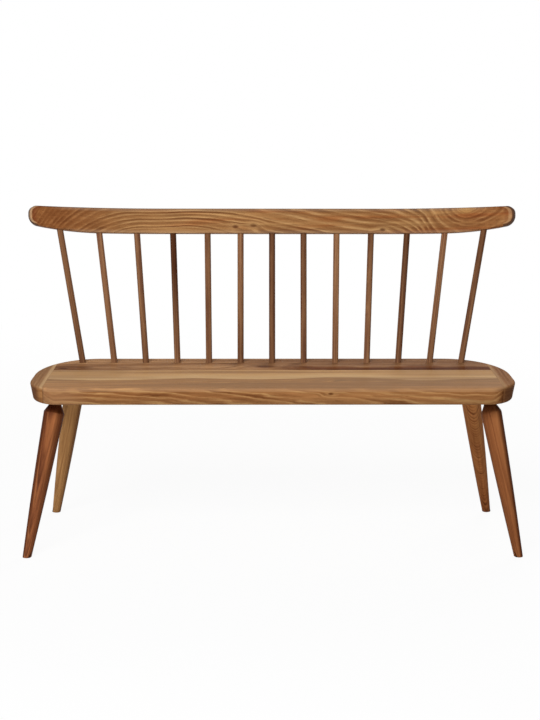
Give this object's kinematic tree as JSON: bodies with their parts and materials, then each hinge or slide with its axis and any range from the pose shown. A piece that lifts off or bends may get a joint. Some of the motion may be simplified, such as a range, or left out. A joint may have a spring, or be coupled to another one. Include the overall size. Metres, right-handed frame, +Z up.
{
  "type": "spindle-back bench",
  "caption": "Solid-wood bench with a flat boarded seat, splayed turned legs and a leaning spindle back under a bent crest rail.",
  "frame": {"origin": "on the floor, under the middle of the bench's bounding box", "axes": "+X to the sitter's left along the seat, which is the right of a front view, +Y from the front edge to the back, +Z up"},
  "size_m": [1.3156, 0.4469, 0.8703],
  "materials": {
    "rail_wood": "oiled, satin",
    "spindle_wood": "oiled, satin",
    "leg_wood": "oiled, satin",
    "seat_rear_wood": "oiled, satin",
    "seat_front_wood": "oiled, satin",
    "end_cap_wood": "oiled, satin",
    "tongue_wood": "bare, matt"
  },
  "bodies": {
    "root": {"crest_rail": "rail_wood", "spindle_01": "spindle_wood", "spindle_02": "spindle_wood", "spindle_03": "spindle_wood", "spindle_04": "spindle_wood", "spindle_05": "spindle_wood", "spindle_06": "spindle_wood", "spindle_07": "spindle_wood", "spindle_08": "spindle_wood", "spindle_09": "spindle_wood", "spindle_10": "spindle_wood", "spindle_11": "spindle_wood", "spindle_12": "spindle_wood", "spindle_13": "spindle_wood", "seat_rear_board": "seat_rear_wood", "seat_front_board": "seat_front_wood", "end_cap_left": "end_cap_wood", "end_cap_right": "end_cap_wood", "board_tongue": "tongue_wood", "cap_tongue_left": "tongue_wood", "cap_tongue_right": "tongue_wood", "leg_front_left": "leg_wood", "leg_front_right": "leg_wood", "leg_rear_left": "leg_wood", "leg_rear_right": "leg_wood"}
  },
  "joints": []
}
